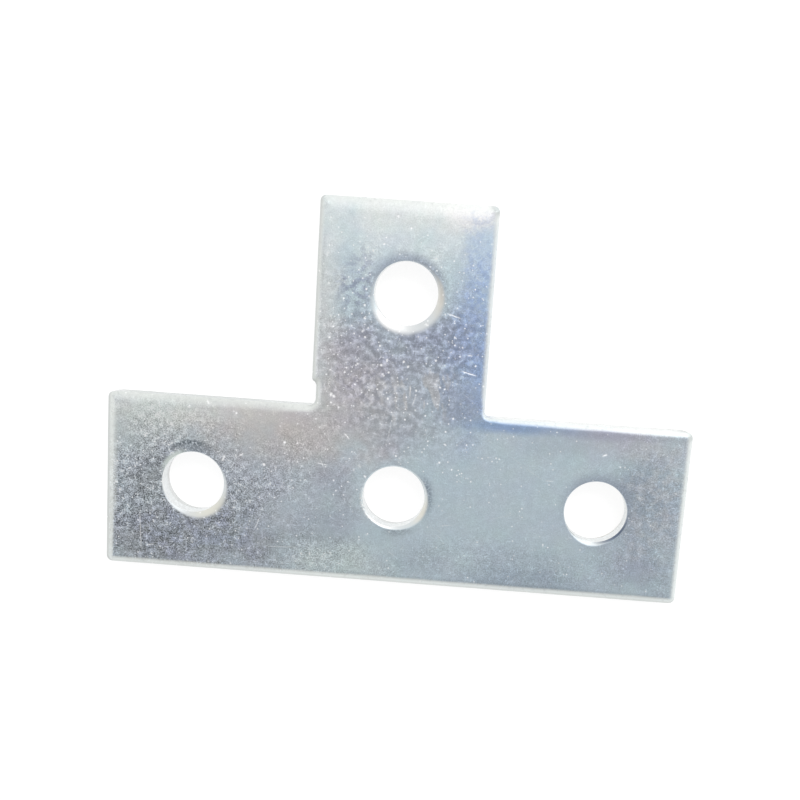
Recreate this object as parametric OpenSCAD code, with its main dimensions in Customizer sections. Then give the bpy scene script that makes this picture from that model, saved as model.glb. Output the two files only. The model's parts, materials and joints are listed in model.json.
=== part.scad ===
// Flat tee plate for bolting lengths of strut channel together.
// Stamped from one piece of flat steel and zinc plated, with four punched bolt holes.
// Lies on its back face, front face up, with +X along the bar and +Y up the stem.
// The origin is the middle of its footprint, on the back face. Sizes are in millimetres.

/* [Plate] */
// thickness of the steel
thickness = 6; // [5:0.5:10]
// width of the bar, from its lower edge to its upper edge
bar_width = 41.8; // [40:0.1:60]
// width of the stem
stem_width = 41; // [36:0.1:60]
// how far the stem sits to the left of the middle hole
stem_shift = 0.4; // [0:0.1:2]

/* [Holes] */
// diameter of the bolt holes
hole_d = 14.8; // [9:0.1:18]
// distance from each hole to the next
hole_pitch = 48; // [45:0.5:80]
// height of the bar's holes above its lower edge
hole_height = 21.3; // [18:0.1:26]
// distance from the outer holes to the ends of the arms and of the stem
end_distance = 21; // [16:0.1:40]

/* [Punched edges of the holes] */
// width of the rounding that the punch drew down around each rim
rim_w = 1.3; // [0.6:0.1:2.4]
// depth of that rounding
rim_d = 0.7; // [0.3:0.05:1.2]
// how much wider a hole is where it breaks out at the back
breakout = 1; // [0.2:0.1:2]
// height of the part that broke away
breakout_h = 2.6; // [1:0.1:3]

/* [Corners] */
// radius of the outer corners
corner_r = 1.45; // [1.45:0.05:6]
// radius between the stem and the left arm
left_inner_r = 1.7; // [0.8:0.1:3]
// radius between the stem and the right arm
right_inner_r = 1.3; // [0.8:0.1:6]

/* [Step beside the left arm] */
// how far the stem's left edge steps in, where two strokes of the press met
step_in = 1.05; // [0.4:0.05:1.6]
// height above the bar at which the step starts
step_height = 4.6; // [4:0.1:12]
// radius at the foot of the step
step_r = 1.4; // [1:0.1:2]
// radius of the corner above it, which is cut as short flats
step_nose = 0.8; // [0.6:0.1:1.2]

/* [Sheared outline] */
// width of the rounding along the front edges
roll_w = 1.2; // [0.5:0.05:1.2]
// depth of that rounding
roll_d = 0.85; // [0.3:0.05:1.2]
// how far the edge leans in at the back, where the steel broke
lean = 0.25; // [0.1:0.05:0.6]
// height of the part that leans in
lean_h = 2.2; // [1:0.1:3]

/* [Hidden] */
$fn = 48;
zinc = [0.71, 0.73, 0.75];

bar_length = 2 * (hole_pitch + end_distance);
tee_height = hole_height + hole_pitch + end_distance;

// edges of the outline
x_left = -bar_length / 2;
x_right = bar_length / 2;
y_bottom = -tee_height / 2;
y_top = tee_height / 2;
y_bar = y_bottom + bar_width;
x_stem_l = -stem_shift - stem_width / 2;
x_stem_r = -stem_shift + stem_width / 2;
x_foot = x_stem_l + step_in;

// hole centres
y_hole = y_bottom + hole_height;
holes = [[-hole_pitch, y_hole], [0, y_hole], [hole_pitch, y_hole], [0, y_hole + hole_pitch]];

// the step: an arc at its foot, then flats that turn back to the stem's edge
step_flats = 2;
step_turn = acos(1 - step_in / (step_nose + step_r));
step_foot = [x_foot - step_r, y_bar + step_height];
step_top = step_foot[1] + (step_nose + step_r) * sin(step_turn);
step_points = [for (i = [0 : step_flats])
    let (a = step_turn * i / step_flats)
        [x_stem_l + step_nose * (1 - cos(a)), step_top - step_nose * sin(a)]];

// a rounding starts with this slope, as drawn steel does
draw_slope = 12;
// how far shapes that cut run past what they cut, in millimetres and degrees
past = 0.2;
outside = 0.5;
overlap = 1;
step_past = 6;

// Area above the arc that leaves the top face at [-w, 0] and meets the wall at [0, -d].
module rounding(w, d) {
    chord_slope = atan(d / w);
    arc_r = norm([w, d]) / (2 * sin(chord_slope - draw_slope));
    difference() {
        translate([-w - past, -d - past])
            square([w + past + outside, d + past + outside]);
        translate([-w - arc_r * sin(draw_slope), -arc_r * cos(draw_slope)])
            circle(arc_r);
    }
}

// What shearing takes off the edge, seen along it. X points out of the steel, Y is height.
module edge_section() {
    translate([0, thickness])
        rounding(roll_w, roll_d);
    polygon([[-lean * (1 + past / lean_h), -past], [outside, -past], [outside, lean_h + past],
        [lean * past / lean_h, lean_h + past]]);
}

// Edge from p to q, with the steel on its left. It can start early and end late.
module straight_edge(p, q, early = 0, late = 0) {
    run = q - p;
    translate([p[0], p[1], 0])
        rotate([0, 0, atan2(run[1], run[0]) - 90])
            translate([0, -early, 0])
                rotate([-90, 0, 0])
                    linear_extrude(norm(run) + early + late)
                        mirror([0, 1])
                            edge_section();
}

// Edge that turns around a centre inside the steel.
module outer_edge(centre, r, from, turn) {
    translate([centre[0], centre[1], 0])
        rotate([0, 0, from])
            rotate_extrude(angle = turn)
                translate([r, 0])
                    edge_section();
}

// Edge that turns around a centre outside the steel.
module inner_edge(centre, r, from, turn) {
    translate([centre[0], centre[1], 0])
        rotate([0, 0, from])
            rotate_extrude(angle = turn)
                translate([r, 0])
                    mirror([1, 0])
                        edge_section();
}

// The sharp part of a corner, beside an arc of radius r. The corner points along [sx, sy].
module corner_bit(corner, r, sx, sy) {
    translate(corner)
        scale([sx, sy])
            difference() {
                translate([-r, -r])
                    square(r);
                translate([-r, -r])
                    circle(r);
            }
}

// Strip that the step leaves open beside the stem's foot.
module step_gap() {
    last = step_points[step_flats];
    run = last - step_points[step_flats - 1];
    inside = last + run / norm(run) * past;
    polygon(concat([[x_stem_l - overlap, step_top], [x_stem_l - overlap, y_bar], [x_foot, y_bar],
        [x_foot, step_foot[1]], step_foot, inside], [for (i = [step_flats : -1 : 0]) step_points[i]]));
    translate(step_foot)
        circle(step_r);
}

module outline() {
    difference() {
        union() {
            translate([x_left, y_bottom])
                square([bar_length, bar_width]);
            difference() {
                translate([x_stem_l, y_bar - overlap])
                    square([stem_width, y_top - y_bar + overlap]);
                step_gap();
            }
            corner_bit([x_foot, y_bar], left_inner_r, 1, -1);
            corner_bit([x_stem_r, y_bar], right_inner_r, -1, -1);
        }
        corner_bit([x_left, y_bottom], corner_r, -1, -1);
        corner_bit([x_right, y_bottom], corner_r, 1, -1);
        corner_bit([x_right, y_bar], corner_r, 1, 1);
        corner_bit([x_stem_r, y_top], corner_r, 1, 1);
        corner_bit([x_stem_l, y_top], corner_r, -1, 1);
        corner_bit([x_left, y_bar], corner_r, -1, 1);
    }
}

// Everything that shearing takes off the outline, counter-clockwise from the lower left corner.
module sheared_edges() {
    c = corner_r;
    straight_edge([x_left + c, y_bottom], [x_right - c, y_bottom]);
    outer_edge([x_right - c, y_bottom + c], c, -90, 90);
    straight_edge([x_right, y_bottom + c], [x_right, y_bar - c]);
    outer_edge([x_right - c, y_bar - c], c, 0, 90);
    straight_edge([x_right - c, y_bar], [x_stem_r + right_inner_r, y_bar]);
    inner_edge([x_stem_r + right_inner_r, y_bar + right_inner_r], right_inner_r, 180, 90);
    straight_edge([x_stem_r, y_bar + right_inner_r], [x_stem_r, y_top - c]);
    outer_edge([x_stem_r - c, y_top - c], c, 0, 90);
    straight_edge([x_stem_r - c, y_top], [x_stem_l + c, y_top]);
    outer_edge([x_stem_l + c, y_top - c], c, 90, 90);
    straight_edge([x_stem_l, y_top - c], step_points[0], late = past);
    inner_edge(step_foot, step_r, 0, step_turn + step_past);
    straight_edge([x_foot, step_foot[1]], [x_foot, y_bar + left_inner_r]);
    inner_edge([x_foot - left_inner_r, y_bar + left_inner_r], left_inner_r, -90, 90);
    straight_edge([x_foot - left_inner_r, y_bar], [x_left + c, y_bar]);
    outer_edge([x_left + c, y_bar - c], c, 90, 90);
    straight_edge([x_left, y_bar - c], [x_left, y_bottom + c]);
    outer_edge([x_left + c, y_bottom + c], c, 180, 90);
}

// Punched hole: a drawn rim, a straight land that the bolt passes, and a wider break at the back.
module punched_hole() {
    r = hole_d / 2;
    flare = breakout / 2 / breakout_h;
    rotate_extrude($fn = 96) {
        translate([0, -overlap])
            square([r, thickness + 2 * overlap]);
        polygon([[r - overlap, -overlap], [r + flare * (breakout_h + overlap), -overlap],
            [r, breakout_h], [r - overlap, breakout_h]]);
        translate([r, thickness])
            mirror([1, 0])
                rounding(rim_w, rim_d);
    }
}

// The plate before its holes are punched.
module blank() {
    difference() {
        linear_extrude(thickness)
            outline();
        sheared_edges();
    }
}

module t_plate() {
    color(zinc)
        difference() {
            blank();
            for (i = [1 : step_flats])
                straight_edge(step_points[i - 1], step_points[i], past, past);
            for (at = holes)
                translate([at[0], at[1], 0])
                    punched_hole();
        }
}

t_plate();
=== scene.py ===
import json
import math
import random

import bpy
import numpy as np
from mathutils import Euler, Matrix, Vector, noise
from mathutils.geometry import delaunay_2d_cdt


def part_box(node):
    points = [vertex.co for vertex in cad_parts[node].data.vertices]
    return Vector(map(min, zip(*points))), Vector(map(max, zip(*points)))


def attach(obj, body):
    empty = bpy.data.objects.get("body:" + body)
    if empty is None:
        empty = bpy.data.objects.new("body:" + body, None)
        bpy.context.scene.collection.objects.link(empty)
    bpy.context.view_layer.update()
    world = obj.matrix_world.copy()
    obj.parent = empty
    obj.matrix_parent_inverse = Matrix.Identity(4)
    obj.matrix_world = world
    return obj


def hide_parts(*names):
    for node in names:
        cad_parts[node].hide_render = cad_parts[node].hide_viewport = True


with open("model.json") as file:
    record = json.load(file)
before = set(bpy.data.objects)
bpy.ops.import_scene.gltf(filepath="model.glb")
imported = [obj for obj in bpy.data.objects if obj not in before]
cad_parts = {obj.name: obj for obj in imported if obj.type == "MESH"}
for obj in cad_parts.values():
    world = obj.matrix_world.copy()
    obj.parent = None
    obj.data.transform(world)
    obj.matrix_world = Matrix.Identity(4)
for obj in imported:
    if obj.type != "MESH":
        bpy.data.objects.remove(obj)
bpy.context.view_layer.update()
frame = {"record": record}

mm = 0.001
low, high = (np.array(corner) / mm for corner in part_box("t_plate"))
print("frame loaded, plate", np.round(high - low, 2), "mm")

# sizes in mm, as drawn; the overall size and the holes come from the frame
plate = {
    "barWidth": 41.8,
    "stemWidth": 41.0,
    "stemShift": 0.4,
    "cornerR": 1.45,
    "leftInnerR": 1.7,
    "rightInnerR": 1.3,
    "stepIn": 1.05,
    "stepHeight": 4.6,
    "stepR": 1.4,
    "stepNose": 0.8,
    "lean": 0.25,  # how far the outline leans in at the back, and from what height
    "leanH": 2.2,
    "leanWaver": 0.5,
    "breakoutH": 2.6,  # height of the break at the back of a hole
    "breakoutWaver": 0.6,
    "roughCut": 0.1,  # torn steel at the bottom of a cut, and the share of it in the holes
    "roughInHoles": 0.15,
    "landWaver": 0.012,  # ripple of the smooth part of a cut
    "boreWaver": 0.01,
    "rimD": 0.7,
    "rimWaver": 0.07,
    # rims are widest towards an angle in degrees; shade darkens the face above a hole
    "rimParts": ("wide", "narrow", "towards", "fall", "curve", "shade", "breakout"),
    "rims": {
        "hole_left": (1.95, 0.15, 308, 3.2, 1.7, 0.4, 0.45),
        "hole_middle": (1.3, 0.4, 335, 4.0, 1.5, 0.1, 0.45),
        "hole_right": (0.95, 0.15, 266, 10.0, 1.4, 0.8, 0.75),
        "hole_stem": (2.4, 0.2, 290, 1.0, 2.2, 1.0, 0.45),
    },
    "rimLeastPale": 0.15,
    "shadeWay": (0.35, 0.95),
    "besideRim": 3.0,  # how far a hole changes the face around it
    "burr": 0.05,  # ridge that the cut leaves round the back, and its width
    "burrW": 0.5,
    "wave": 0.03,  # how far the steel is out of flat
    "waveFromEdge": 6.0,
    "waveFromRim": 5.0,
    "sharpAngle": 38,
    "seed": 7,
}

# mesh spacing in mm, arcs in degrees, rings in shares of a roll or rim; cuts have their break at 1
spacing = {
    "edge": 0.7,
    "arc": 10,
    "rimCount": 120,
    "front": 0.75,
    "frontPastRim": 0.25,
    "frontPastMark": 0.3,
    "back": 1.6,
    "backPastEdge": 0.6,
    "backPastRim": 1.0,
    "jitter": 0.22,
    "rimRoom": 1.3,  # shares of a rim and a roll that the grid keeps off
    "rollRoom": 0.35,
    "edgeRings": (0.05, 0.14, 0.27, 0.42, 0.6, 0.8, 1.0, 1.25),
    "rimRings": (0.06, 0.16, 0.3, 0.46, 0.65, 0.85, 1.0, 1.25),
    "wall": (0.12, 0.3, 0.5, 0.7, 0.88, 1.0, 1.12, 1.3, 1.5, 1.7, 1.88, 2.0),
    "bore": (0.15, 0.4, 0.65, 0.88, 1.0, 1.12, 1.35, 1.6, 1.85, 2.0),
    "backEdgeRings": (0.12, 0.3, 0.6),
    "backRimRings": (0.2, 0.4, 0.7),
    "ringKept": 0.93,  # rings drop points that another stretch of edge is close to
    "backRingKept": 0.9,
}

# strokes on the front as start, end, width and depth; chips as place, radius and depth
marks = {
    "strokes": [
        ((9.6, 20.4), (13.3, 19.3), 0.26, 0.07), ((13.6, 7.4), (18.0, 6.3), 0.3, 0.09),
        ((4.6, 17.6), (5.8, 17.2), 0.55, 0.12), ((15.2, 11.1), (16.3, 11.0), 0.34, 0.07),
        ((2.4, 3.4), (2.4, -0.2), 0.3, 0.04), ((3.9, 1.0), (3.0, -1.9), 0.26, 0.04),
        ((-60.7, -31.0), (-60.0, -42.4), 0.17, 0.05), ((-32.8, -34.4), (-31.6, -31.1), 0.18, 0.05),
        ((-30.5, -38.4), (-21.8, -37.8), 0.14, 0.04), ((-18.9, -16.8), (-15.8, -17.3), 0.24, 0.06),
        ((-17.7, -15.9), (-17.0, -17.8), 0.24, 0.06), ((-12.6, -9.1), (-11.0, -10.8), 0.28, 0.06),
        ((-2.2, -10.4), (-1.5, -5.7), 0.18, 0.03), ((-37.2, -16.7), (-36.0, -15.9), 0.36, 0.08),
        ((-41.1, -18.3), (-40.5, -16.5), 0.5, 0.07), ((-58.9, -40.2), (-56.8, -39.8), 0.28, 0.05),
        ((-8.9, -16.6), (-8.0, -17.3), 0.6, 0.03), ((-7.3, -18.9), (-6.5, -19.8), 0.4, 0.08),
        ((-45.3, -3.8), (-44.5, -4.8), 0.44, 0.1), ((48.1, -10.3), (49.6, -9.7), 0.36, 0.08),
        ((35.5, -17.1), (37.6, -17.1), 0.18, 0.04), ((11.3, -30.0), (14.7, -29.5), 0.16, 0.03),
        ((23.0, -27.5), (28.9, -25.9), 0.13, 0.02), ((27.0, -11.9), (30.0, -14.0), 0.12, 0.02),
        ((30.0, -14.0), (35.5, -17.4), 0.12, 0.02),
    ],
    "strokeStep": 0.22,
    "strokeShake": 0.05,
    "strokeBright": 0.06,  # depth from which a stroke is fully bright
    "chips": [
        ((-15.9, -0.3), 0.5, 0.16), ((-15.4, -0.7), 0.42, 0.14), ((-15.9, -2.2), 0.28, 0.1),
        ((-14.1, -3.2), 0.22, 0.09), ((-9.1, 24.6), 0.26, 0.06), ((-9.3, 20.9), 0.28, 0.06),
        ((-9.1, 18.0), 0.34, 0.1), ((-2.8, 41.3), 0.4, 0.09), ((0.4, 38.9), 0.26, 0.09),
        ((-5.6, 35.0), 0.26, 0.09), ((-9.5, 14.9), 0.28, 0.11), ((-17.0, 13.0), 0.24, 0.1),
        ((0.5, 8.5), 0.3, 0.12), ((7.9, 9.3), 0.28, 0.11), ((-4.7, 7.4), 0.3, 0.1),
        ((-2.9, 5.8), 0.26, 0.1), ((-5.3, 1.7), 0.22, 0.09), ((10.4, 2.8), 0.24, 0.1),
        ((-3.4, 8.7), 0.26, 0.1), ((-38.1, -6.4), 0.34, 0.12), ((-31.1, -18.2), 0.38, 0.12),
        ((-26.4, -12.5), 0.34, 0.11), ((20.3, -12.9), 0.2, 0.08), ((16.4, -10.0), 0.18, 0.08),
        ((11.3, -7.2), 0.24, 0.09), ((36.3, -32.7), 0.2, 0.08),
    ],
    "chipCorners": 6,
    "chipBorder": 0.12,
    "scatter": {  # small chips over the front, thickest where stem and bar meet
        "count": 420,
        "spot": (-2.0, 3.0),
        "spread": 26.0,
        "margin": 3.0,
        "least": 0.1,  # chance that a chip stays far from the spot
        "size": 0.08,
        "more": (0.06, 0.2),
        "depth": 0.4,
    },
    "fromEdge": 0.3,  # no mark comes closer than this to an edge or a hole
    "fromHole": 0.5,
}

# centre, radius and rim of every hole
holes = []
for mount in frame["record"]["mounts"]:
    if mount["kind"] == "bore":
        rim = dict(zip(plate["rimParts"], plate["rims"][mount["name"]]))
        holes.append((np.array(mount["pos_m"][:2]) / mm, mount["dims"]["r_mm"], rim))
dice = random.Random(plate["seed"])


# smooth noise over places in mm; each layer is another pattern
def wander(place, scale, layer=0.0):
    return np.array([noise.noise(Vector((x / scale, y / scale, layer))) for x, y in place])


# smooth noise along an edge
def ripple(along, scale, level, layer):
    return np.array([noise.noise(Vector((s / scale, level, layer))) for s in along])


def lengths(vectors):
    return np.linalg.norm(vectors, axis=1)


# 0 to 1 as values go from the first limit to the second
def rise(value, limits):
    start, end = limits
    return np.clip((value - start) / (end - start), 0, 1)


def line(start, end):
    start, end = np.array(start, float), np.array(end, float)
    length = np.linalg.norm(end - start)
    count = max(1, round(length / spacing["edge"]))
    along = (end - start) / length
    out = np.array([along[1], -along[0]])
    return start + (end - start) * np.arange(count)[:, None] / count, np.tile(out, (count, 1))


# clockwise arcs turn round a centre outside the steel
def arc(centre, r, start, end):
    count = max(3, round(abs(end - start) / spacing["arc"]))
    angle = np.radians(start + (end - start) * np.arange(count) / count)
    spoke = np.stack([np.cos(angle), np.sin(angle)], 1)
    return np.array(centre) + r * spoke, spoke if end > start else -spoke


# points along the edge, and the way out of the steel at each
def outline():
    c, inR, inL = plate["cornerR"], plate["rightInnerR"], plate["leftInnerR"]
    nose, footR = plate["stepNose"], plate["stepR"]
    left, bottom, right, top = low[0], low[1], high[0], high[1]
    barTop = bottom + plate["barWidth"]
    stemLeft = -plate["stemShift"] - plate["stemWidth"] / 2
    stemRight = stemLeft + plate["stemWidth"]
    foot = stemLeft + plate["stepIn"]
    turn = math.degrees(math.acos(1 - plate["stepIn"] / (nose + footR)))
    stepFoot = (foot - footR, barTop + plate["stepHeight"])
    stepTop = stepFoot[1] + (nose + footR) * math.sin(math.radians(turn))
    runs = [
        line((left + c, bottom), (right - c, bottom)),
        arc((right - c, bottom + c), c, -90, 0),
        line((right, bottom + c), (right, barTop - c)),
        arc((right - c, barTop - c), c, 0, 90),
        line((right - c, barTop), (stemRight + inR, barTop)),
        arc((stemRight + inR, barTop + inR), inR, 270, 180),
        line((stemRight, barTop + inR), (stemRight, top - c)),
        arc((stemRight - c, top - c), c, 0, 90),
        line((stemRight - c, top), (stemLeft + c, top)),
        arc((stemLeft + c, top - c), c, 90, 180),
        line((stemLeft, top - c), (stemLeft, stepTop)),
        arc((stemLeft + nose, stepTop), nose, 180, 180 + turn),
        arc(stepFoot, footR, turn, 0),
        line((foot, stepFoot[1]), (foot, barTop + inL)),
        arc((foot - inL, barTop + inL), inL, 0, -90),
        line((foot - inL, barTop), (left + c, barTop)),
        arc((left + c, barTop - c), c, 90, 180),
        line((left, barTop - c), (left, bottom + c)),
        arc((left + c, bottom + c), c, 180, 270),
    ]
    return [np.concatenate(part) for part in zip(*runs)]


def circle(centre, r):
    angle = np.arange(spacing["rimCount"]) * 2 * math.pi / spacing["rimCount"]
    return centre + r * np.stack([np.cos(angle), np.sin(angle)], 1)


# width of a rim along spokes from the hole's centre, and how close they are to its widest side
def rimWidth(spoke, rim):
    turn = np.arctan2(spoke[:, 1], spoke[:, 0]) - math.radians(rim["towards"])
    close = 0.5 + 0.5 * np.cos(turn)
    return rim["narrow"] + (rim["wide"] - rim["narrow"]) * close ** rim["fall"], close


# distance from each place to a closed loop, and the loop's nearest point
def toLoop(place, loop, chunk=1500):
    run = np.roll(loop, -1, 0) - loop
    length = (run * run).sum(1)
    gap, near = np.empty(len(place)), np.empty(len(place), int)
    for i in range(0, len(place), chunk):
        offset = place[i:i + chunk, None] - loop
        part = np.clip((offset * run).sum(2) / length, 0, 1)
        dist = np.linalg.norm(offset - part[..., None] * run, axis=2)
        gap[i:i + chunk] = dist.min(1)
        near[i:i + chunk] = dist.argmin(1)
    return gap, near


def toPoints(place, points, chunk=1000):
    gap = np.empty(len(place))
    for i in range(0, len(place), chunk):
        gap[i:i + chunk] = np.linalg.norm(place[i:i + chunk, None] - points, axis=2).min(1)
    return gap


def insideLoop(place, loop, chunk=4000):
    ax, ay = loop.T
    bx, by = np.roll(loop, -1, 0).T
    inside = np.empty(len(place), bool)
    for i in range(0, len(place), chunk):
        x, y = place[i:i + chunk, 0:1], place[i:i + chunk, 1:2]
        spans = (ay > y) != (by > y)
        cross = (bx - ax) * (y - ay) / np.where(by == ay, 1e-9, by - ay) + ax
        inside[i:i + chunk] = (spans & (x < cross)).sum(1) % 2 == 1
    return inside


# rolled front edge: widths in mm, and places along x or y that they change at
roll = {
    "depth": 0.85,
    "width": 1.25,
    "waver": 0.15,
    "left": 0.95,  # added on the left end, and a share of it left of the stem
    "leftOnStem": 0.3,
    "leftEndTo": -30,
    "below": 0.6,
    "leftArm": 1.2,  # added along the tops of the arms and of the stem
    "leftArmFrom": (-19, -28),
    "rightArm": 0.1,
    "rightArmFrom": (19, 23),
    "top": 2.1,
    "topRight": 0.9,
    "topRightFrom": (-4, 10),
    "right": 0.38,  # added on edges that face right, with more at the right end
    "rightEnd": 0.3,
    "rightEndFrom": 40,
    "inCorner": 0.6,  # taken off in the inner corner right of the stem
    "inCornerAt": (20.4, -3.0),
    "inCornerR": 3.2,
    "curve": 1.4,  # power of its fall: less on the left, more where it runs out slowly
    "straight": 0.32,
    "soft": 0.9,
    "softRight": 0.7,
    "setIn": 0.03,  # the edge lies inside the outline, deeper on the left
    "setInWaver": 0.03,
    "setInLeft": 0.12,
    "paleTo": 1.15,  # how far its painted highlight reaches, and what some sides lack of it
    "softLess": 0.6,
    "stemLess": 0.5,
    "cornerLess": 0.3,
    "halo": 0.33,  # faint painted highlight beside the left end, above its lower corner
    "haloW": 1.5,
    "haloFrom": (-38, -30),
    "lip": 0.75,  # dull line along the outer edge, on the left and below
}

edge, edgeOut = outline()
facesRight, facesUp = np.maximum(edgeOut, 0).T
facesLeft, facesDown = np.maximum(-edgeOut, 0).T
setIn = roll["setIn"] + roll["setInWaver"] * wander(edge, 6.0) + roll["setInLeft"] * facesLeft
edge = edge - edgeOut * setIn[:, None]
alongX, onBar = edge[:, 0], edge[:, 1] < 0
leftEnd = alongX < roll["leftEndTo"]
onLeftArm = rise(alongX, roll["leftArmFrom"]) * facesUp * onBar
onRightArm = rise(alongX, roll["rightArmFrom"]) * facesUp * onBar
onTop = facesUp * ~onBar
inCorner = np.exp(-np.sum((edge - roll["inCornerAt"]) ** 2, 1) / roll["inCornerR"] ** 2)

rollWidth = roll["width"] + roll["waver"] * wander(edge, 9.0, 4.0)
rollWidth += roll["left"] * facesLeft * np.where(leftEnd, 1.0, roll["leftOnStem"])
rollWidth += roll["below"] * facesDown
rollWidth += roll["leftArm"] * onLeftArm + roll["rightArm"] * onRightArm
rollWidth += (roll["top"] + roll["topRight"] * rise(alongX, roll["topRightFrom"])) * onTop
rollWidth += roll["right"] * facesRight + roll["rightEnd"] * facesRight * (alongX > roll["rightEndFrom"])
rollWidth -= roll["inCorner"] * inCorner
softRight = roll["softRight"] * np.maximum(onRightArm, facesRight)
rollSoft = np.maximum.reduce([onLeftArm, onTop, softRight])
rollCurve = roll["curve"] + roll["soft"] * rollSoft - roll["straight"] * facesLeft
paleShare = 1 - roll["softLess"] * rollSoft - roll["stemLess"] * facesLeft * ~leftEnd
paleShare *= 1 - roll["cornerLess"] * inCorner
lipShare = np.clip(facesLeft + facesDown, 0, 1)
haloShare = facesLeft * leftEnd


def gridOver(step, edgeGap, rimGap):
    xs = np.arange(low[0] + step / 2, high[0], step)
    ys = np.arange(low[1] + step / 2, high[1], step)
    grid = np.stack(np.meshgrid(xs, ys), -1).reshape(-1, 2)
    shift = np.array([[dice.uniform(-1, 1), dice.uniform(-1, 1)] for _ in grid])
    grid = grid + shift * step * spacing["jitter"]
    grid = grid[insideLoop(grid, edge)]
    gap, near = toLoop(grid, edge)
    keep = gap > rollWidth[near] + edgeGap
    for centre, r, rim in holes:
        spoke = grid - centre
        keep &= lengths(spoke) > r + rimWidth(spoke, rim)[0] * spacing["rimRoom"] + rimGap
    return grid[keep]


def scatteredChips():
    chips, rule = [], marks["scatter"]
    margin, least, (more, moreAtSpot) = rule["margin"], rule["least"], rule["more"]
    while len(chips) < rule["count"]:
        place = np.array([dice.uniform(low[i] + margin, high[i] - margin) for i in (0, 1)])
        close = math.exp(-np.sum(((place - rule["spot"]) / rule["spread"]) ** 2))
        if dice.random() < least + (1 - least) * close:
            size = rule["size"] + (more + moreAtSpot * close) * dice.random() ** 2
            chips.append((place, size, size * rule["depth"]))
    return chips


# points of a mark are place, depth and brightness, which is painted as white wear and glint; a stroke fades
# at both ends
def strokePoints(start, end, width, depth):
    points = []
    start, end = np.array(start), np.array(end)
    length = np.linalg.norm(end - start)
    along = (end - start) / length
    side = np.array([-along[1], along[0]])
    count = max(4, round(length / marks["strokeStep"]))
    for i in range(count + 1):
        part = i / count
        fade = min(1.0, 4 * part, 4 * (1 - part)) * dice.uniform(0.6, 1.0)
        spine = start + (end - start) * part + side * dice.uniform(-1, 1) * marks["strokeShake"]
        fade *= min(1.0, depth / marks["strokeBright"])
        points.append((spine, depth * fade, fade))
        for way in (-1, 1):
            points.append((spine + way * side * width * 0.5, 0.0, 0.35 * fade))
            points.append((spine + way * side * width * 1.1, 0.0, 0.0))
    return points


def chipPoints(place, size, depth):
    place = np.array(place)
    points = [(place, depth, 0.9)]
    first = dice.uniform(0, 360)
    for i in range(marks["chipCorners"]):
        angle = math.radians(first + 360 * i / marks["chipCorners"])
        spoke = np.array([math.cos(angle), math.sin(angle)])
        reach = size * dice.uniform(0.7, 1.15)
        points.append((place + spoke * reach, depth * 0.15, 0.5))
        points.append((place + spoke * (reach + marks["chipBorder"]), 0.0, 0.0))
    return points


# points of every mark, where they lie well inside the steel
def markPoints():
    points = []
    for stroke in marks["strokes"]:
        points += strokePoints(*stroke)
    for chip in marks["chips"] + scatteredChips():
        points += chipPoints(*chip)
    places, depths, bright = (np.array(column) for column in zip(*points))
    keep = insideLoop(places, edge) & (toLoop(places, edge)[0] > marks["fromEdge"])
    for centre, r, _ in holes:
        keep &= lengths(places - centre) > r + marks["fromHole"]
    return places[keep], depths[keep], bright[keep]


# triangles inside the first loop and outside the rest, by the order of loops and loose points
def fill(loops, loose):
    places = np.concatenate(loops + [loose])
    ties, start = [], 0
    for loop in loops:
        ties += [(start + i, start + (i + 1) % len(loop)) for i in range(len(loop))]
        start += len(loop)
    _, _, faces, source, _, _ = delaunay_2d_cdt([Vector(p) for p in places], ties, [], 0, 1e-5)
    index = np.array([s[0] for s in source])
    faces = index[np.array([f for f in faces if len(f) == 3])]
    middles = places[faces].mean(1)
    keep = insideLoop(middles, loops[0])
    for loop in loops[1:]:
        keep &= ~insideLoop(middles, loop)
    return faces[keep]


# depth of the front below the top, and the values that its material reads
def frontDepth(place):
    gap, near = toLoop(place, edge)
    width = rollWidth[near]
    depth = roll["depth"] * np.clip(1 - gap / width, 0, 1) ** rollCurve[near]
    # painted highlight along the rolled edge, with a faint one beside the left end
    drawn = np.clip(roll["paleTo"] - gap / width, 0, 1) * paleShare[near]
    halo = roll["halo"] * np.clip(1 - (gap - width) / roll["haloW"], 0, 1) * haloShare[near]
    drawn = np.maximum(drawn, halo * rise(place[:, 1], roll["haloFrom"]))
    lip = np.clip(1 - gap / roll["lip"], 0, 1) * lipShare[near]
    away = np.full(len(place), np.inf)
    rim, pale, above = (np.zeros(len(place)) for _ in range(3))
    leastPale = plate["rimLeastPale"]
    for centre, r, shape in holes:
        spoke = place - centre
        reach = lengths(spoke)
        wide, close = rimWidth(spoke, shape)
        wide = wide * (1 + plate["rimWaver"] * wander(spoke / reach[:, None] * 5 + centre, 1.0, 6.0))
        inRim = np.clip(1 - (reach - r) / wide, 0, 1)
        depth += plate["rimD"] * np.sqrt(np.minimum(wide / shape["wide"], 1)) * inRim ** shape["curve"]
        rim = np.maximum(rim, np.clip(roll["paleTo"] - (reach - r) / wide, 0, 1))
        nearest = reach - r < away
        # rims are painted paler towards their widest side, a painted highlight
        pale = np.where(nearest, leastPale + (1 - leastPale) * close, pale)
        # painted shade on the face above each hole, as strong as its shade column
        up = np.clip(0.5 + 0.6 * (spoke @ plate["shadeWay"]) / reach, 0, 1)
        above = np.where(nearest, up * shape["shade"], above)
        away = np.minimum(away, reach - r)
    flat = np.clip(gap / plate["waveFromEdge"], 0, 1) * np.clip(away / plate["waveFromRim"], 0, 1)
    depth += plate["wave"] * flat * (1 + wander(place, 16.0) + 0.5 * wander(place, 6.0, 3.0))
    beside = np.clip(1 - away / plate["besideRim"], 0, 1)
    above = above * beside
    return depth, dict(drawn=drawn, lip=lip, rim=rim, pale=pale, above=above, beside=beside)


# mesh under construction, with the values kept at every point
faceSlot, cutSlot = 0, 1
verts, faces, slots = [], [], []
kept = {name: [] for name in ("rubbed", "drawn", "lip", "rim", "pale", "above", "beside", "torn", "bore")}


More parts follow.
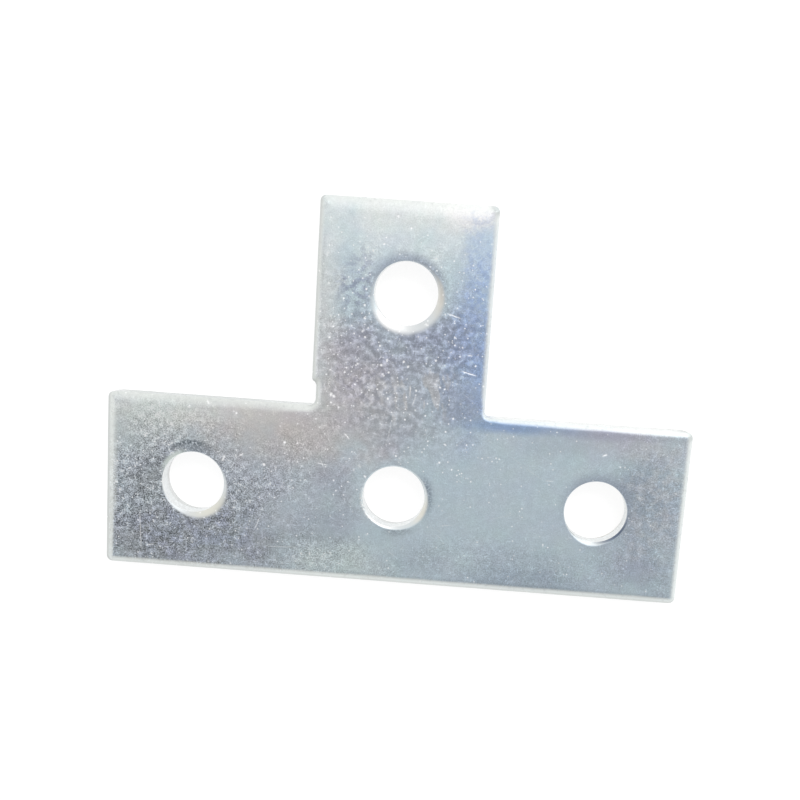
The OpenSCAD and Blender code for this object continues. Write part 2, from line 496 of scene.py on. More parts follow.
def addPoints(xy, z, **values):
    first = sum(len(v) for v in verts)
    verts.append(np.column_stack([xy, np.broadcast_to(z, len(xy))]))
    for name, store in kept.items():
        store.append(np.broadcast_to(np.asarray(values.get(name, 0.0), float), len(xy)))
    return first


def addFaces(rows, slot):
    faces.extend(rows.tolist())
    slots.extend([slot] * len(rows))


# band of a cut between two closed rows of points
def addBand(upper, lower, count, turned):
    ring = np.arange(count)
    after = (ring + 1) % count
    quads = np.column_stack([upper + ring, lower + ring, lower + after, upper + after])
    addFaces(quads[:, ::-1] if turned else quads, cutSlot)


# the break is torn less where it comes out at the back
def tornShare(level):
    return min(1, 6 * (2 - level) + 0.15)


# front: edge loop, rings inside it, rims, grid and marks
def makeFront(rims):
    rings = []
    for share in spacing["edgeRings"]:
        ring = edge - edgeOut * (rollWidth * share)[:, None]
        rings.append(ring[toLoop(ring, edge)[0] > spacing["ringKept"] * rollWidth * share])
    for (centre, r, rim), loop in zip(holes, rims):
        spoke = (loop - centre) / r
        wide = rimWidth(spoke, rim)[0][:, None]
        rings += [loop + spoke * wide * share for share in spacing["rimRings"]]
    markPlaces, markDepth, markBright = markPoints()
    grid = gridOver(spacing["front"], roll["width"] * spacing["rollRoom"], spacing["frontPastRim"])
    grid = grid[toPoints(grid, markPlaces) > spacing["frontPastMark"]]
    loose = np.concatenate(rings + [grid, markPlaces])
    places = np.concatenate([edge] + rims + [loose])
    depth, values = frontDepth(places)
    rubbed = np.zeros(len(places))
    depth[-len(markPlaces):] += markDepth
    rubbed[-len(markPlaces):] = markBright
    addPoints(places, high[2] - depth, rubbed=rubbed, **values)
    triangles = fill([edge] + rims, loose)
    addFaces(triangles, faceSlot)
    print("front", len(places), "points", len(triangles), "triangles")


# sheared outline at a level of the cut
def wallLoop(level):
    along = np.arange(len(edge)) * spacing["edge"]
    if level <= 1:
        inset = plate["landWaver"] * (1 + ripple(along, 0.9, level, 2.0))
    else:
        rough = 0.5 + 0.5 * ripple(along, 1.1, level * 2.2, 5.0)
        inset = plate["lean"] * (level - 1)
        inset = inset + plate["roughCut"] * rough * min(1, 6 * (level - 1)) * tornShare(level)
    return edge - edgeOut * inset[:, None]


# punched hole at a level of the cut; spokes have length 1
def boreLoop(number, spoke, level):
    centre, r, rim = holes[number]
    if level <= 1:
        reach = r + plate["boreWaver"] * (1 + wander(spoke * 30, 1.0, level + number))
    else:
        rough = 0.5 + 0.5 * wander(spoke * 8 + number * 17, 1.1, level * 2.0)
        reach = r + rim["breakout"] * (level - 1)
        reach = reach + plate["roughCut"] * plate["roughInHoles"] * rough * tornShare(level)
    return centre + spoke * reach[:, None]


# bands of a cut, from its upper row of points to the row at the back, which it gives
def makeCut(upper, loops, levels, land, breakAt, turned, **values):
    for level, loop in zip(levels, loops):
        z = land + (breakAt - land) * level if level <= 1 else breakAt * (2 - level)
        lower = addPoints(loop, z, torn=float(level > 1), **values)
        addBand(upper, lower, len(loop), turned)
        upper = lower
    return upper


def makeOutlineWall():
    breakAt = plate["leanH"] + plate["leanWaver"] * wander(edge, 5.0, 8.0)
    loops = [wallLoop(level) for level in spacing["wall"]]
    return makeCut(0, loops, spacing["wall"], high[2] - roll["depth"], breakAt, False)


def makeBores(rims):
    backRows = []
    for number, (centre, r, _) in enumerate(holes):
        spoke = (rims[number] - centre) / r
        breakAt = plate["breakoutH"] + plate["breakoutWaver"] * wander(spoke * 9 + number * 31, 4.0, 9.0)
        loops = [boreLoop(number, spoke, level) for level in spacing["bore"]]
        upper = len(edge) + number * spacing["rimCount"]
        land = high[2] - plate["rimD"]
        backRows.append(makeCut(upper, loops, spacing["bore"], land, breakAt, True, bore=1.0))
    return backRows


# back, a hair above the burr that stands round every cut
def makeBack(edgeRow, holeRows):
    rows = [np.arange(edgeRow, edgeRow + len(edge))]
    rows += [np.arange(row, row + spacing["rimCount"]) for row in holeRows]
    points = np.concatenate(verts)[:, :2]
    backEdge = points[rows[0]]
    grid = gridOver(spacing["back"], spacing["backPastEdge"], spacing["backPastRim"])
    rings = []
    for inset in spacing["backEdgeRings"]:
        ring = backEdge - edgeOut * inset
        rings.append(ring[toLoop(ring, backEdge)[0] > spacing["backRingKept"] * inset])
    for centre, r, rim in holes:
        rings += [circle(centre, r + rim["breakout"] + outset) for outset in spacing["backRimRings"]]
    loose = np.concatenate(rings + [grid])
    gap, _ = toLoop(loose, backEdge)
    for centre, r, rim in holes:
        gap = np.minimum(gap, lengths(loose - centre) - r - rim["breakout"])
    first = addPoints(loose, plate["burr"] * np.clip(gap / plate["burrW"], 0, 1))
    index = np.concatenate(rows + [np.arange(first, first + len(loose))])
    addFaces(index[fill([points[row] for row in rows], loose)][:, ::-1], faceSlot)


def addObject(name, data):
    item = bpy.data.objects.new(name, data)
    bpy.context.collection.objects.link(item)
    return item


def buildPlate():
    rims = [circle(centre, r) for centre, r, _ in holes]
    makeFront(rims)
    edgeRow = makeOutlineWall()
    makeBack(edgeRow, makeBores(rims))
    mesh = bpy.data.meshes.new("tPlate")
    mesh.from_pydata((np.concatenate(verts) * mm).tolist(), [], faces)
    for name, store in kept.items():
        mesh.attributes.new(name, "FLOAT", "POINT").data.foreach_set("value", np.concatenate(store))
    mesh.polygons.foreach_set("material_index", slots)
    mesh.polygons.foreach_set("use_smooth", [True] * len(faces))
    mesh.set_sharp_from_angle(angle=math.radians(plate["sharpAngle"]))
    mesh.update()
    print("plate mesh", len(mesh.vertices), "points", len(mesh.polygons), "faces")
    return addObject("tPlate", mesh)


# one node with its settings; values that are sockets become links
def put(tree, kind, inputs=None, **settings):
    node = tree.nodes.new(kind)
    for name, value in settings.items():
        setattr(node, name, value)
    for key, value in (inputs or {}).items():
        if isinstance(value, bpy.types.NodeSocket):
            tree.links.new(value, node.inputs[key])
        else:
            node.inputs[key].default_value = value
    return node


# tree of the first socket among some values
def treeOf(*values):
    return next(v for v in values if isinstance(v, bpy.types.NodeSocket)).id_data


def math2(operation, a, b, clamp=False):
    return put(treeOf(a, b), "ShaderNodeMath", {0: a, 1: b}, operation=operation, use_clamp=clamp).outputs[0]


def plus(a, b, clamp=False):
    return math2("ADD", a, b, clamp)


def minus(a, b, clamp=False):
    return math2("SUBTRACT", a, b, clamp)


def times(a, b):
    return math2("MULTIPLY", a, b)


def most(a, b):
    return math2("MAXIMUM", a, b)


def vector2(operation, a, b):
    return put(treeOf(a, b), "ShaderNodeVectorMath", {0: a, 1: b}, operation=operation).outputs[0]


def enlarge(vector, factor):
    inputs = {0: vector, 3: factor}
    return put(vector.id_data, "ShaderNodeVectorMath", inputs, operation="SCALE").outputs[0]


def ramp(value, fromLow, fromHigh, toLow=0.0, toHigh=1.0, smooth=True):
    limits = {"From Min": fromLow, "From Max": fromHigh, "To Min": toLow, "To Max": toHigh}
    return put(value.id_data, "ShaderNodeMapRange", {"Value": value, **limits},
               interpolation_type="SMOOTHSTEP" if smooth else "LINEAR").outputs[0]


# mix of two colours, each a socket or red, green and blue
def blend(share, a, b, mode="MIX"):
    tree = treeOf(share, a, b)
    a, b = (c if isinstance(c, bpy.types.NodeSocket) else (*c, 1) for c in (a, b))
    return put(tree, "ShaderNodeMix", {0: share, 6: a, 7: b}, data_type="RGBA", blend_type=mode).outputs[2]


# darkens or brightens a colour by a value around 1
def shadeBy(colour, shade):
    grey = put(shade.id_data, "ShaderNodeCombineColor", {0: shade, 1: shade, 2: shade}).outputs[0]
    return blend(1, colour, grey, "MULTIPLY")


def clouds(place, scale, detail, roughness=0.5, output="Fac"):
    inputs = {"Vector": place, "Scale": scale, "Detail": detail, "Roughness": roughness}
    return put(place.id_data, "ShaderNodeTexNoise", inputs).outputs[output]


groups = {}


# group with its outputs, and its inputs with their first values
def newGroup(name, outputs, **inputs):
    group = groups[name] = bpy.data.node_groups.new(name, "ShaderNodeTree")
    for label, value in inputs.items():
        kind = "NodeSocketFloat" if isinstance(value, float) else "NodeSocketVector"
        group.interface.new_socket(label, in_out="INPUT", socket_type=kind).default_value = value
    for label in outputs:
        group.interface.new_socket(label, in_out="OUTPUT", socket_type="NodeSocketFloat")
    return group, group.nodes.new("NodeGroupInput").outputs, group.nodes.new("NodeGroupOutput").inputs


def use(name, output="Mask", **inputs):
    node = put(inputs["Vector"].id_data, "ShaderNodeGroup", inputs, node_tree=groups[name])
    return node if output is None else node.outputs[output]


# soft-edged area of a tint, with a ragged border
def tintAreaGroup():
    group, given, result = newGroup(
        "tintArea", ["Mask"], Vector=(0, 0, 0), Centre=(0, 0, 0), Size=(10, 10, 50), Ragged=0.25)
    away = vector2("SUBTRACT", given["Vector"], given["Centre"])
    away = vector2("DIVIDE", away, given["Size"])
    far = put(group, "ShaderNodeVectorMath", {0: away}, operation="LENGTH").outputs["Value"]
    cloud = minus(clouds(given["Vector"], 0.13, 3.0), 0.5)
    far = plus(far, times(times(cloud, given["Ragged"]), 4.0))
    group.links.new(ramp(far, 0.15, 1.1, 1, 0), result["Mask"])


# patchy mask: clouds of a given size, with a share of the surface covered
def mottleGroup():
    group, given, result = newGroup("mottle", ["Mask"], Vector=(0, 0, 0), Size=3.0, Share=0.5)
    cloud = clouds(given["Vector"], math2("DIVIDE", 1, given["Size"]), 5.0, 0.6)
    cut = minus(0.72, times(given["Share"], 0.44))
    over = ramp(cloud, minus(cut, 0.08), plus(cut, 0.08))
    group.links.new(over, result["Mask"])


# hairlines from handling: long thin noise, kept where it peaks
def hairlineGroup():
    group, given, result = newGroup(
        "hairlines", ["Mask"], Vector=(0, 0, 0), Turn=0.0, Length=12.0, Spacing=0.8, Amount=0.3)
    turned = put(group, "ShaderNodeVectorRotate", {"Vector": given["Vector"], "Angle": given["Turn"]},
                 rotation_type="Z_AXIS").outputs[0]
    along = math2("DIVIDE", 1, given["Length"])
    across = math2("DIVIDE", 1, given["Spacing"])
    squeeze = put(group, "ShaderNodeCombineXYZ", {0: along, 1: across, 2: 1.0}).outputs[0]
    lines = clouds(vector2("MULTIPLY", turned, squeeze), 1.0, 2.0)
    cut = minus(0.82, times(given["Amount"], 0.3))
    group.links.new(ramp(lines, cut, plus(cut, 0.06)), result["Mask"])


# frost of the plating: fine grains, clumps and short needles, as light and dark and as a height
def frostGroup():
    group, given, result = newGroup("frost", ["Shade", "Height"], Vector=(0, 0, 0), Size=0.3, Coarse=0.0)
    scale = math2("DIVIDE", 1, given["Size"])
    fine = ramp(clouds(given["Vector"], times(scale, 0.9), 2.0, 0.6), 0.3, 0.72)
    clump = ramp(clouds(given["Vector"], times(scale, 0.2), 3.0, 0.6), 0.36, 0.82)
    needles = 0.0
    for turn in (0.3, 1.4, 2.4):
        layer = use("hairlines", Vector=given["Vector"], Turn=turn, Amount=0.6,
                    Length=times(given["Size"], 5.0), Spacing=times(given["Size"], 1.7))
        needles = most(needles, layer)
    shade = 0.42
    # layers with their middle value, and their weight in fine and in coarse frost
    layers = ((fine, 0.5, 0.58, 0.14), (clump, 0.24, 0.44, 0.72), (needles, 0.1, 0.45, 0.3))
    for layer, middle, whenFine, whenCoarse in layers:
        weight = ramp(given["Coarse"], 0, 1, whenFine, whenCoarse, smooth=False)
        shade = plus(shade, times(minus(layer, middle), weight))
    group.links.new(shade, result["Shade"])
    group.links.new(shade, result["Height"])


# bright dots where tiny facets catch the light
def sparkleGroup():
    group, given, result = newGroup("sparkle", ["Mask"], Vector=(0, 0, 0), Spacing=1.2, Share=0.15)
    scale = math2("DIVIDE", 1, given["Spacing"])
    cells = put(group, "ShaderNodeTexVoronoi", {"Vector": given["Vector"], "Scale": scale})
    pick = put(group, "ShaderNodeSeparateColor", {0: cells.outputs["Color"]}).outputs[1]
    pick = math2("LESS_THAN", pick, given["Share"])
    dot = ramp(cells.outputs["Distance"], 0.08, 0.28, 1, 0)
    group.links.new(times(dot, pick), result["Mask"])


tintAreaGroup()
mottleGroup()
hairlineGroup()
frostGroup()
sparkleGroup()


def newMaterial(name):
    material = bpy.data.materials.new(name)
    material.use_nodes = True
    tree = material.node_tree
    place = enlarge(put(tree, "ShaderNodeTexCoord").outputs["Object"], 1 / mm)
    return material, tree, place


def attribute(tree, name):
    return put(tree, "ShaderNodeAttribute", attribute_name=name).outputs["Fac"]


# area given by its centre and size in mm, right through the steel
def area(place, centre, size, ragged=0.25):
    midHeight, through = 3, 60
    return use("tintArea", Vector=place, Centre=(*centre, midHeight), Size=(*size, through), Ragged=ragged)


def tinted(place, colour, tints):
    for centre, size, tint, strength in tints.values():
        colour = blend(times(area(place, centre, size), strength), colour, tint)
    return colour


# sum of areas, each by its share
def addUp(total, spots, shares, clamp=False):
    for name, share in shares.items():
        total = plus(total, times(spots[name], share), clamp)
    return total


def connect(tree, colour, rough, metal, height, strength, distance):
    bump = put(tree, "ShaderNodeBump", {"Height": height, "Strength": strength, "Distance": distance})
    surface = tree.nodes["Principled BSDF"].inputs
    tree.links.new(colour, surface["Base Color"])
    tree.links.new(rough, surface["Roughness"])
    tree.links.new(metal, surface["Metallic"])
    tree.links.new(bump.outputs[0], surface["Normal"])


# plated face: colours are linear; tints are centre and size in mm, colour and strength
zincFace = {
    "base": (0.635, 0.75, 0.82),
    "tints": {
        "leftHalf": ((-44, -26), (46, 34), (0.57, 0.61, 0.67), 0.9),
        "leftArmDark": ((-52, -37), (36, 15), (0.44, 0.475, 0.52), 0.85),
        "leftTop": ((-60, -4), (30, 13), (0.83, 0.9, 0.88), 0.9),
        "warmTop": ((-32, -5), (26, 9), (0.84, 0.79, 0.77), 0.85),
        "junctionPink": ((-12, -4), (20, 15), (0.7, 0.67, 0.7), 0.9),
        "stemDark": ((0, 9), (22, 19), (0.5, 0.54, 0.63), 0.9),
        "stemLeftWarm": ((-20, 18), (8, 32), (0.82, 0.84, 0.84), 0.8),
        # blue on the stem's right side, here and in topRightBlue and stemEdgeBlue, is partly the plating's
        # tint and partly a painted reflection of bluish surroundings
        "stemRightBlue": ((16, 13), (8, 30), (0.49, 0.605, 0.8), 0.9),
        # paler top of the stem, partly the plating's tone and partly a painted highlight
        "stemTop": ((0, 47), (38, 23), (0.9, 0.97, 0.98), 0.95),
        "topRightBlue": ((19, 33), (8, 15), (0.63, 0.77, 0.94), 0.8),
        "leftTopEdge": ((-58, -7), (34, 4), (0.9, 0.96, 0.93), 0.6),
        "stemTopEdge": ((0, 45), (30, 8), (0.89, 0.92, 0.92), 0.9),
        # white patch at the stem's top right, a painted highlight
        "stemTopWhite": ((15, 45), (13, 7.2), (1, 1, 1), 1),
        "lowGreen": ((-13, -41), (17, 7.5), (0.7, 0.8, 0.8), 0.85),
        "lowRightDark": ((32, -43), (26, 6), (0.47, 0.56, 0.64), 0.85),
        "rightEndGrey": ((60, -25), (15, 24), (0.53, 0.61, 0.69), 0.85),
        "armTopMauve": ((56, -7), (18, 7), (0.62, 0.63, 0.69), 0.7),
        "armEdgeMauve": ((48, -5), (22, 2.4), (0.49, 0.5, 0.61), 0.7),
        "cornerBlue": ((26, -4.9), (18, 2.4), (0.32, 0.46, 0.73), 0.85),
        "junctionGrey": ((-1, -7.5), (18, 9), (0.52, 0.56, 0.62), 0.75),
        "leftRingDark": ((-58.5, -23), (7, 8), (0.42, 0.455, 0.48), 0.9),
        "middleRingDark": ((-15, -32), (9, 8), (0.5, 0.57, 0.63), 0.7),
        "innerCornerBlue": ((15.5, 1), (8, 8), (0.45, 0.535, 0.68), 0.85),
        "stemEdgeBlue": ((18.8, 6), (3.2, 13), (0.4, 0.54, 0.8), 0.75),
        "ringPale": ((-7, -20), (5, 9), (0.66, 0.75, 0.8), 0.6),
        "leftWarmBand": ((-28, -11.5), (32, 9), (0.69, 0.645, 0.625), 0.6),
        "stemFootPink": ((-11, 7.5), (10, 13), (0.51, 0.48, 0.53), 0.6),
        "stemDarkRight": ((9, 14), (12, 7), (0.39, 0.445, 0.58), 0.65),
        "cornerDark": ((13, -2), (10, 7), (0.44, 0.5, 0.6), 0.6),
        "armInnerDark": ((36, -8.5), (11, 5), (0.54, 0.62, 0.69), 0.5),
        "middleLeftDark": ((-15, -21), (7, 7), (0.5, 0.53, 0.61), 0.55),
        "rightUpperDark": ((58, -19), (10, 11), (0.44, 0.505, 0.595), 0.8),
        "rightLowerDark": ((60, -38), (8, 6), (0.46, 0.52, 0.61), 0.6),
        "leftLowerDark": ((-61, -40), (11, 6), (0.39, 0.415, 0.44), 0.6),
        "leftUpperGreen": ((-66, -12), (14, 9), (0.66, 0.7, 0.685), 0.6),
        "leftMiddleDark": ((-29, -38), (9, 6), (0.45, 0.485, 0.52), 0.4),
        "lowCentreDark": ((7, -39.5), (13, 6), (0.5, 0.58, 0.64), 0.5),
        "lowMiddleDark": ((33, -37), (15, 5), (0.49, 0.58, 0.66), 0.55),
        "leftArmEdge": ((-42, -3.4), (48, 2.8), (0.62, 0.64, 0.63), 0.8),
        "stemLeftEdge": ((-20.9, 28), (2, 34), (0.57, 0.59, 0.59), 0.85),
    },
    "mottles": {  # with the size of their clouds before the strength
        # blue on the stem's right side, partly the plating's tint and partly a painted reflection of bluish
        # surroundings
        "blueStem": ((17, 22), (7, 28), (0.36, 0.49, 0.78), 1.3, 0.5),
        "blueFine": ((16.5, 14), (6, 28), (0.37, 0.49, 0.75), 0.9, 0.4),
        "violetStem": ((4, 13), (20, 14), (0.42, 0.46, 0.58), 2.2, 0.5),
        "violetRim": ((-11.5, 25), (6, 11), (0.41, 0.465, 0.585), 1.6, 0.95),
        "violetLeft": ((-46, -36), (26, 12), (0.37, 0.41, 0.53), 3, 0.5),
        "greyRight": ((55, -36), (22, 16), (0.48, 0.54, 0.63), 3, 0.4),
        "paleRight": ((62, -18), (12, 26), (0.68, 0.7, 0.72), 2.5, 0.45),
        "paleJunction": ((-12, 1), (20, 10), (0.74, 0.72, 0.73), 2, 0.45),
    },
    "chroma": 0.08,
    "smearTan": (0.76, 0.75, 0.745),
    "smear": 0.55,
    # painted shade on the face above the holes
    "shadeAboveHoles": (0.42, 0.48, 0.57),
    "shadeAboveStrength": 0.85,
    # painted highlight on the rolled edge, with darker chips in it
    "rollHighlightPale": (0.86, 0.89, 0.86),
    "drawnChip": (0.62, 0.65, 0.64),
    "rollHighlightStrength": 0.8,
    "lipGrey": (0.68, 0.705, 0.69),
    "lipStrength": 0.85,
    # painted highlight on the hole rims
    "rimHighlight": (0.8, 0.83, 0.83),
    "rimHighlightStrength": 0.9,
    "stainsAndPaintedLight": {  # stains, painted highlights and painted shade on the rims, around them and on the rolled edge
        # painted highlight on the stem hole's rim
        "stemWhite": ((-3.5, 17.2), (7, 4.4), (1, 1, 1), "rim"),
        # painted highlight on the middle hole's rim
        "middleWhite": ((-3.5, -31), (6.5, 4.5), (1, 1, 1), "rim"),
        "middleCream": ((7.2, -27.5), (3.6, 5), (0.86, 0.85, 0.78), "rim"),
        "stemCream": ((9, 23.5), (4, 7.5), (0.84, 0.82, 0.76), "rim"),
        "leftCream": ((-43, -31), (7, 6), (0.83, 0.825, 0.75), "rim"),
        "leftPale": ((-53.4, -17.9), (5, 5), (0.8, 0.88, 0.84), "close"),
        # painted shade beside the middle hole
        "middleDark": ((8.8, -22.5), (4.2, 8), (0.22, 0.27, 0.34), "flecked"),
        "middleLowDark": ((3.5, -33.2), (8, 2.8), (0.32, 0.37, 0.42), "flecked"),
        # painted highlight along the middle hole's edge
        "middleFringe": ((-6.8, -27.5), (3.6, 8), (0.95, 0.98, 0.98), "fringe"),
        # painted shade above the left hole
        "leftDark": ((-46.5, -14.2), (7, 3.2), (0.24, 0.28, 0.32), "flecked"),
        "rightEnd": ((69.2, -3.4), (2.4, 2.4), (0.56, 0.6, 0.59), "edge"),
        "stemEnd": ((19.9, 44.9), (2.8, 2.8), (0.52, 0.56, 0.56), "edge"),
        # painted shade in an arc above the left hole
        "leftArc": ((-50, -13.2), (10, 5), (0.17, 0.2, 0.23), "arc"),
        "rightBlue": ((53.2, -28.6), (6.5, 6.5), (0.17, 0.21, 0.29), "tight"),
    },
    "spots": {  # centre and size of areas that the frost and the dots differ in
        "smear": ((3.5, 0.5), (14, 10)),
        "leftEnd": ((-56, -29), (40, 28)),
        "stem": ((2, 11), (30, 26)),
        "rightEnd": ((64, -22), (20, 28)),
        "lowEdge": ((28, -40), (44, 9)),
        "lowLeft": ((-19, -41), (20, 8)),
        "besideMiddle": ((-17, -20), (15, 22)),
        "junction": ((0, -8), (24, 12)),
        "betweenHoles": ((-26, -19), (20, 14)),
    },
    "frostSize": 0.3,
    "frostLeast": 0.12,
    "frost": {"leftEnd": 1.15, "stem": 0.62, "rightEnd": 0.3},
    "frostOffRims": 0.85,
    "frostPatches": {"lowEdge": 0.22, "lowLeft": 0.4, "besideMiddle": 0.16, "junction": 0.16},
    "frostUnderSmear": 0.7,
    "frostCoarse": {"stem": 1, "leftEnd": 0.15, "junction": 0.6},
    "frostMiddle": 0.4,
    "frostContrast": 1.8,
    "dots": {"stem": 0.35, "leftEnd": 0.2, "betweenHoles": 0.16},
    "dotsLeast": 0.06,
    "dotsBright": 0.75,
    "hairlines": [(0.6, 5, 0.35, 0.36), (-0.9, 4, 0.3, 0.34)],  # turn, length, spacing, amount
    "hairBright": 0.35,
    # white that wear and painted glints are blended to
    "bright": (1, 1, 1),
    "roughness": (0.3, 0.42),
    "rubbedRough": 0.2,
    "bump": (0.2, 0.00005),  # strength, and height in metres
}


# base colour with its tints, stains in patches, a play of colour and dragged marks
def tintedZinc(place, smearAt):
    look = zincFace
    colour = tinted(place, look["base"], look["tints"])
    for centre, size, tint, cloud, strength in look["mottles"].values():
        patches = use("mottle", Vector=place, Size=cloud)
        mask = times(area(place, centre, size), patches)
        colour = blend(times(mask, strength), colour, tint)
    film = clouds(place, 0.18, 4.0, output="Color")
    film = enlarge(vector2("SUBTRACT", film, (0.5, 0.5, 0.5)), look["chroma"])
    film = vector2("ADD", film, (1.0, 1.0, 1.0))
    colour = blend(1, colour, film, "MULTIPLY")
    smear = use("hairlines", Vector=place, Turn=1.45, Length=8.0, Spacing=2.4, Amount=0.95)
    smear = times(times(smear, smearAt), look["smear"])
    return blend(smear, colour, look["smearTan"])


# roll and rims painted pale as highlights, with the stains, painted highlights and painted shade on and
# around them
def edgedZinc(tree, place, colour, onRim):
    look = zincFace
    beside, onRoll = attribute(tree, "beside"), ramp(attribute(tree, "drawn"), 0.1, 0.5)
    chipped = times(use("mottle", Vector=place, Size=1.1, Share=0.25), 0.5)
    # painted highlight on the rolled edge, broken by darker chips
    rollHighlightTint = blend(chipped, look["rollHighlightPale"], look["drawnChip"])
    colour = blend(times(onRoll, look["rollHighlightStrength"]), colour, rollHighlightTint)
    lip = ramp(attribute(tree, "lip"), 0, 0.6)
    colour = blend(times(lip, look["lipStrength"]), colour, look["lipGrey"])
    # painted highlight on the rims, strongest towards their widest side
    paleRim = times(onRim, attribute(tree, "pale"))
    colour = blend(times(paleRim, look["rimHighlightStrength"]), colour, look["rimHighlight"])

    # where stains, painted highlights and painted shade can lie: rings around a hole, some of them broken up
    # into flecks
    flecks = use("mottle", Vector=place, Size=0.5, Share=0.55)
    offRim = minus(ramp(beside, 0, 0.9), onRim, True)
    ring = times(ramp(beside, 0.02, 0.14), ramp(beside, 0.35, 0.55, 1, 0))
    where = {
        "rim": onRim,
        "edge": onRoll,
        "close": ramp(beside, 0.5, 0.88),
        "tight": ramp(beside, 0.8, 0.91),
        "arc": times(ring, flecks),
        "fringe": times(flecks, ramp(beside, 0.7, 0.86)),
        "flecked": times(offRim, ramp(flecks, 0, 1, 0.3, 1)),
    }
    for centre, size, tint, kind in look["stainsAndPaintedLight"].values():
        mask = area(place, centre, size, 0.1)
        colour = blend(times(mask, where[kind]), colour, tint)
    return colour


def makeZincFace():
    look = zincFace
    material, tree, place = newMaterial("zincFace")
    spots = {name: area(place, *where) for name, where in look["spots"].items()}
    colour = tintedZinc(place, spots["smear"])
    # painted shade on the face above each hole
    shaded = times(ramp(attribute(tree, "above"), 0, 0.8), look["shadeAboveStrength"])
    colour = blend(shaded, colour, look["shadeAboveHoles"])
    onRim = ramp(attribute(tree, "rim"), 0, 0.7)

    # frost
    amount = addUp(look["frostLeast"], spots, look["frost"])
    amount = times(amount, minus(1, times(onRim, look["frostOffRims"])))
    amount = addUp(amount, spots, look["frostPatches"])
    amount = times(amount, ramp(spots["smear"], 0, 1, 1, look["frostUnderSmear"]))
    coarse = addUp(0, spots, look["frostCoarse"], True)
    frost = use("frost", None, Vector=place, Size=look["frostSize"], Coarse=coarse).outputs
    shade = times(minus(frost["Shade"], look["frostMiddle"]), amount)
    shade = plus(times(shade, look["frostContrast"]), 1.0)
    colour = edgedZinc(tree, place, shadeBy(colour, shade), onRim)

    # dots of painted glint, hairlines from handling and the wear marks that the mesh has, all painted
    # towards white
    busy = addUp(look["dotsLeast"], spots, look["dots"])
    dots = use("sparkle", Vector=place, Spacing=0.9, Share=busy)
    rubbed = most(attribute(tree, "rubbed"), times(dots, look["dotsBright"]))
    for turn, length, gap, amount in look["hairlines"]:
        lines = use("hairlines", Vector=place, Turn=turn, Length=length, Spacing=gap, Amount=amount)
        rubbed = most(rubbed, times(lines, look["hairBright"]))
    colour = blend(rubbed, colour, look["bright"])

    rough = ramp(frost["Shade"], 0, 1, *look["roughness"], smooth=False)
    rough = plus(rough, times(rubbed, look["rubbedRough"]))
    metal = ramp(rubbed, 0.1, 0.9, 1, 0.2)
    connect(tree, colour, rough, metal, frost["Height"], *look["bump"])
    return material


# cut steel under the plating: a bright land, then a rough break; paler in the holes
zincCut = {
    "land": (0.87, 0.885, 0.88),
    "break": (0.79, 0.805, 0.79),
    "tints": {
        "left": ((-48, -4), (44, 20), (0.6, 0.63, 0.62), 0.9),
        "rightEnd": ((70, -4), (6, 8), (0.5, 0.53, 0.52), 0.9),
        "innerCorner": ((20.5, -2.6), (3.4, 3.4), (0.6, 0.66, 0.74), 1.0),
    },
    "bore": (0.81, 0.835, 0.84),
    "boreBreak": (0.77, 0.785, 0.78),
    "rightHole": ((48, -24), (16, 16)),
    "rightBoreBreak": (0.63, 0.62, 0.56),
    "boreStrength": 0.9,
    "frostSize": 0.4,
    "shade": (0.9, 1.08),
    "roughness": (0.28, 0.55),
    "metallic": (0.9, 1.0),
    "bump": (0.4, 0.0001),
}


def makeZincCut():
    look = zincCut
    material, tree, place = newMaterial("zincCut")
    torn, bore = attribute(tree, "torn"), attribute(tree, "bore")
    colour = tinted(place, blend(torn, look["land"], look["break"]), look["tints"])
    inRightHole = area(place, *look["rightHole"], 0.0)
    boreTorn = blend(inRightHole, look["boreBreak"], look["rightBoreBreak"])
    boreColour = blend(torn, look["bore"], boreTorn)
    colour = blend(times(bore, look["boreStrength"]), colour, boreColour)
    frost = use("frost", None, Vector=place, Size=look["frostSize"]).outputs
    colour = shadeBy(colour, ramp(frost["Shade"], 0, 1, *look["shade"], smooth=False))
    rough = ramp(torn, 0, 1, *look["roughness"], smooth=False)
    metal = ramp(bore, 0, 1, *look["metallic"], smooth=False)
    connect(tree, colour, rough, metal, frost["Height"], *look["bump"])
    return material


tPlate = buildPlate()
tPlate.data.materials.append(makeZincFace())
tPlate.data.materials.append(makeZincCut())
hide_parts("t_plate")
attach(tPlate, "root")
print("plate finished")

# pale floor, partly its own white so that its shadow stays light; limits are parts of a unit direction
studio = {
    "floorSize": 4.0,
    "floorColour": (0.26, 0.26, 0.26, 1),
    "floorGlow": 0.83,
    "skyColour": (1.0, 1.0, 1.0, 1),
    "horizon": 1.05,
    "overhead": 0.64,
    "overheadZ": (0.1, 0.75),
    "behind": 0.92,  # level on the far side, and more to the right
    "behindY": (-0.02, 0.18),
    "behindRight": 1.5,
    "behindRightY": (0.12, 0.45),
    "behindRightX": (-0.12, 0.12),
    "front": 0.16,  # light missing on the near side
    "frontNearY": (-0.55, -0.35),
    "frontFarY": (-0.98, -0.85),
    "frontZ": (0.12, 0.3),
    "boxSize": 0.5,
    "boxPower": 3.4,
    "boxPlace": (0.25, 0.62, 0.55),
}


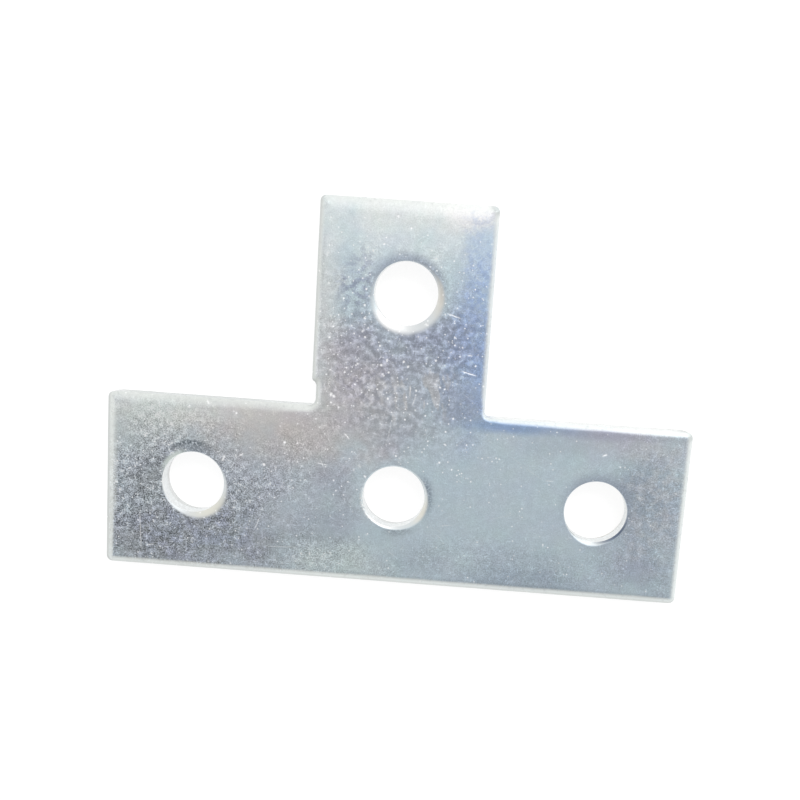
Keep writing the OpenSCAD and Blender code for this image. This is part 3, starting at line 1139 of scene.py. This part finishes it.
def makeFloor():
    half = studio["floorSize"] / 2
    mesh = bpy.data.meshes.new("floor")
    corners = [(x * half, y * half, 0) for x, y in ((-1, -1), (1, -1), (1, 1), (-1, 1))]
    mesh.from_pydata(corners, [], [(0, 1, 2, 3)])
    floor = addObject("floor", mesh)
    material = bpy.data.materials.new("paleFloor")
    material.use_nodes = True
    tree = material.node_tree
    tree.nodes.remove(tree.nodes["Principled BSDF"])
    ray = put(tree, "ShaderNodeLightPath").outputs
    seen = most(ray["Is Camera Ray"], ray["Is Glossy Ray"])
    seen = most(seen, ray["Is Transmission Ray"])
    matte = put(tree, "ShaderNodeBsdfDiffuse", {"Color": studio["floorColour"]}).outputs[0]
    strength = times(seen, studio["floorGlow"])
    glow = put(tree, "ShaderNodeEmission", {"Strength": strength}).outputs[0]
    both = put(tree, "ShaderNodeAddShader", {0: matte, 1: glow}).outputs[0]
    tree.links.new(both, tree.nodes["Material Output"].inputs["Surface"])
    mesh.materials.append(material)


# studio walls: pale at eye level, softer overhead, brighter on the far side
def makeWorld():
    world = bpy.data.worlds.new("studio")
    bpy.context.scene.world = world
    world.use_nodes = True
    tree = world.node_tree
    way = put(tree, "ShaderNodeTexCoord").outputs["Generated"]
    x, y, z = put(tree, "ShaderNodeSeparateXYZ", {0: way}).outputs
    level = ramp(z, *studio["overheadZ"], studio["horizon"], studio["overhead"])
    behind = ramp(y, *studio["behindY"], studio["overhead"], studio["behind"])
    right = ramp(y, *studio["behindRightY"], 0, studio["behindRight"])
    right = times(right, ramp(x, *studio["behindRightX"]))
    level = most(most(level, behind), right)
    near = ramp(y, *studio["frontNearY"], 1, 0)
    near = times(near, ramp(y, *studio["frontFarY"]))
    near = times(near, ramp(z, *studio["frontZ"]))
    level = minus(level, times(near, studio["front"]))
    sky = tree.nodes["Background"].inputs
    sky["Color"].default_value = studio["skyColour"]
    tree.links.new(level, sky["Strength"])


def makeSoftBox():
    lamp = bpy.data.lights.new("softBox", "AREA")
    lamp.size = studio["boxSize"]
    lamp.energy = studio["boxPower"]
    box = addObject("softBox", lamp)
    box.location = studio["boxPlace"]
    box.visible_glossy = False
    box.rotation_euler = (-Vector(studio["boxPlace"])).to_track_quat("-Z", "Y").to_euler()


# camera fitted to the outline and hole edges: mm and degrees, then pixels of an 800 px frame
view = {
    "place": (14.2, 25.5, 186.9),
    "turn": (-7.83, 1.52, 4.0),
    "frame": 800,
    "focal": 784.7,
    "centreX": 447.2,
    "nearest": 0.005,  # in metres
}


def makeCamera():
    data = bpy.data.cameras.new("camera")
    data.sensor_fit = "HORIZONTAL"
    data.lens = data.sensor_width * view["focal"] / view["frame"]
    data.shift_x = (view["frame"] / 2 - view["centreX"]) / view["frame"]
    data.clip_start = view["nearest"]
    camera = addObject("camera", data)
    camera.location = Vector(view["place"]) * mm
    camera.rotation_euler = Euler([math.radians(a) for a in view["turn"]], "XYZ")
    bpy.context.scene.camera = camera


makeFloor()
makeWorld()
makeSoftBox()
makeCamera()
bpy.context.scene.view_settings.view_transform = "Standard"
print("studio and camera placed")
